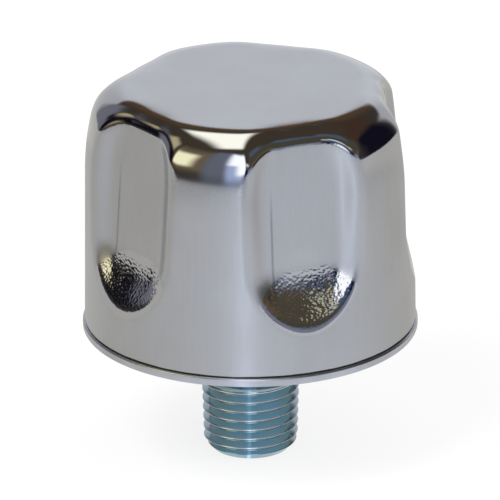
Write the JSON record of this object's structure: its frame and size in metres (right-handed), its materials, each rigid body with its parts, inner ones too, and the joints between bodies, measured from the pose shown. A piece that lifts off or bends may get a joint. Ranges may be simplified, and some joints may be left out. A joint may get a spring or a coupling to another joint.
{
  "type": "hydraulic filler breather",
  "caption": "Round fluted steel breather cap on a short taper pipe thread, with a pleated filter element inside and air inlets in its base plate.",
  "frame": {"origin": "centre of the nipple's lower end face, on the thread axis", "axes": "+Z along the thread axis, from the nipple up to the cap's flat top; one flute faces -Y"},
  "size_m": [0.0474, 0.0474, 0.0546],
  "materials": {
    "cap_steel": "satin pressed steel, bright where the tooling has polished the shoulder and the flutes",
    "plate_steel": "satin zinc-plated sheet",
    "zinc_plate": "bright zinc plate with a blue-green passivate",
    "ring_steel": "plain zinc-plated strip",
    "screen_steel": "pierced plated strip",
    "end_cap_steel": "pressed plated strip",
    "spring_steel": "blued spring strip",
    "strainer_brass": "pierced brass sheet",
    "rubber": "black nitrile rubber",
    "potting": "cured amber adhesive",
    "filter_paper": "resin-treated filter paper"
  },
  "bodies": {
    "root": {"cap_shell": "cap_steel", "base_plate": "plate_steel", "threaded_nipple": "zinc_plate", "nipple_gasket": "rubber", "lock_ring": "ring_steel", "nipple_strainer": "strainer_brass", "strainer_clip": "ring_steel", "splash_baffle": "ring_steel", "inlet_screen": "screen_steel", "screen_retainer": "ring_steel", "element_seal": "rubber", "lower_end_cap": "end_cap_steel", "lower_potting": "potting", "filter_media": "filter_paper", "element_core": "screen_steel", "upper_potting": "potting", "upper_end_cap": "end_cap_steel", "hold_down_spring": "spring_steel"}
  },
  "joints": []
}
